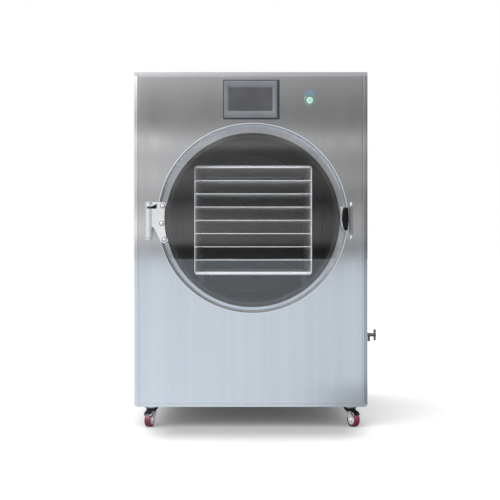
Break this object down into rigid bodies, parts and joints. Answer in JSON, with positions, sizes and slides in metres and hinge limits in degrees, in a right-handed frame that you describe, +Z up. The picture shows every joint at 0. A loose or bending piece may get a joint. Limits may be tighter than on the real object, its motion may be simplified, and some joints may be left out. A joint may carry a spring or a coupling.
{
  "type": "freeze dryer",
  "caption": "Floor-standing freeze dryer: stainless cabinet on casters, round clear door on a side hinge, shelf rack in a vacuum chamber, touch panel and lit power button above.",
  "frame": {"origin": "on the floor, in the middle of the whole machine's footprint, the drain valve and the vacuum port included", "axes": "+Z up, -Y towards the person at the door, +X to that person's right, the side of the latch and the drain valve"},
  "size_m": [0.885, 0.8663, 1.281],
  "materials": {
    "steel": "brushed stainless sheet, grain up and down",
    "bright_steel": "polished stainless",
    "frame_steel": "plain grey, satin",
    "dark_paint": "black paint, satin",
    "foam": "closed-cell foam, matt",
    "gasket": "moulded rubber, matt",
    "acrylic": "clear, polished",
    "black_plastic": "black, satin gloss",
    "dark_plastic": "dark grey, matt",
    "bezel_plastic": "blue grey, satin",
    "screen": "dark grey film, unlit",
    "lit_ring": "pale green, lit",
    "lit_cap": "green, lit",
    "copper": "drawn copper tube",
    "zinc": "bright zinc plate",
    "red_tread": "dark red polyurethane, satin"
  },
  "bodies": {
    "cabinet": {"base_pan": "steel", "side_shell_left": "steel", "side_shell_right": "steel", "top_cover": "steel", "front_panel": "steel", "rear_panel": "steel", "frame_front": "frame_steel", "frame_rear": "frame_steel", "chamber_cradle": "frame_steel", "chamber_shell": "steel", "chamber_jacket": "foam", "chamber_flange": "steel", "door_gasket": "gasket", "rack_rail_left": "steel", "rack_rail_right": "steel", "rack_frame": "bright_steel", "shelf_1": "bright_steel", "shelf_2": "bright_steel", "shelf_3": "bright_steel", "shelf_4": "bright_steel", "shelf_5": "bright_steel", "shelf_6": "bright_steel", "shelf_7": "bright_steel", "hinge_bracket": "bright_steel", "latch_keeper": "bright_steel", "hmi_case": "dark_plastic", "hmi_bezel": "bezel_plastic", "hmi_screen": "screen", "power_button_body": "lit_ring", "control_box": "dark_paint", "compressor": "dark_paint", "condenser": "frame_steel", "suction_pipe": "copper", "discharge_pipe": "copper", "vacuum_port": "bright_steel", "power_inlet": "black_plastic", "drain_pipe": "bright_steel", "drain_valve": "bright_steel", "caster_plate_front_left": "zinc", "caster_plate_front_right": "zinc", "caster_plate_rear_left": "zinc", "caster_plate_rear_right": "zinc"},
    "door": {"door_disc": "acrylic", "hinge_plate": "bright_steel", "hinge_bolt_1": "bright_steel", "hinge_bolt_2": "bright_steel", "hinge_bolt_3": "bright_steel", "latch_base": "bright_steel"},
    "latch_handle": {"latch_handle": "black_plastic"},
    "power_button": {"power_button": "lit_cap"},
    "fan": {"fan_rotor": "black_plastic"},
    "drain_handle": {"drain_valve_handle": "frame_steel"},
    "caster_front_left": {"caster_fork_front_left": "zinc"},
    "wheel_front_left": {"caster_wheel_front_left": "red_tread"},
    "caster_front_right": {"caster_fork_front_right": "zinc"},
    "wheel_front_right": {"caster_wheel_front_right": "red_tread"},
    "caster_rear_left": {"caster_fork_rear_left": "zinc"},
    "wheel_rear_left": {"caster_wheel_rear_left": "red_tread"},
    "caster_rear_right": {"caster_fork_rear_right": "zinc"},
    "wheel_rear_right": {"caster_wheel_rear_right": "red_tread"}
  },
  "joints": [
    {"name": "door_hinge", "type": "hinge", "parent": "cabinet", "child": "door", "pos_m": [-0.3875, -0.4048, 0.744], "axis": [0, 0, -1], "range_deg": [0, 110]},
    {"name": "latch_turn", "type": "hinge", "parent": "door", "child": "latch_handle", "pos_m": [0.3145, -0.41, 0.7505], "axis": [0, 1, 0], "range_deg": [0, 90]},
    {"name": "power_button_press", "type": "slide", "parent": "cabinet", "child": "power_button", "axis": [0, 1, 0], "range_m": [0, 0.0015], "stiffness_N_per_m": 1500},
    {"name": "drain_handle_turn", "type": "hinge", "parent": "cabinet", "child": "drain_handle", "pos_m": [0.4175, -0.29, 0.325], "axis": [1, 0, 0], "range_deg": [0, 90]},
    {"name": "fan_spin", "type": "hinge", "parent": "cabinet", "child": "fan", "pos_m": [-0.2125, 0.356, 0.2083], "axis": [0, 1, 0], "continuous": true},
    {"name": "swivel_front_left", "type": "hinge", "parent": "cabinet", "child": "caster_front_left", "pos_m": [-0.3835, -0.345, 0.065], "axis": [0, 0, 1], "continuous": true},
    {"name": "roll_front_left", "type": "hinge", "parent": "caster_front_left", "child": "wheel_front_left", "pos_m": [-0.38956, -0.36615, 0.026], "axis": [0.9613, -0.2756, 0], "continuous": true},
    {"name": "swivel_front_right", "type": "hinge", "parent": "cabinet", "child": "caster_front_right", "pos_m": [0.3385, -0.345, 0.065], "axis": [0, 0, 1], "continuous": true},
    {"name": "roll_front_right", "type": "hinge", "parent": "caster_front_right", "child": "wheel_front_right", "pos_m": [0.3495, -0.36405, 0.026], "axis": [0.866, 0.5, 0], "continuous": true},
    {"name": "swivel_rear_left", "type": "hinge", "parent": "cabinet", "child": "caster_rear_left", "pos_m": [-0.3835, 0.345, 0.065], "axis": [0, 0, 1], "continuous": true},
    {"name": "roll_rear_left", "type": "hinge", "parent": "caster_rear_left", "child": "wheel_rear_left", "pos_m": [-0.37598, 0.36567, 0.026], "axis": [-0.9397, 0.342, 0], "continuous": true},
    {"name": "swivel_rear_right", "type": "hinge", "parent": "cabinet", "child": "caster_rear_right", "pos_m": [0.3385, 0.345, 0.065], "axis": [0, 0, 1], "continuous": true},
    {"name": "roll_rear_right", "type": "hinge", "parent": "caster_rear_right", "child": "wheel_rear_right", "pos_m": [0.33098, 0.36567, 0.026], "axis": [-0.9397, -0.342, 0], "continuous": true}
  ]
}
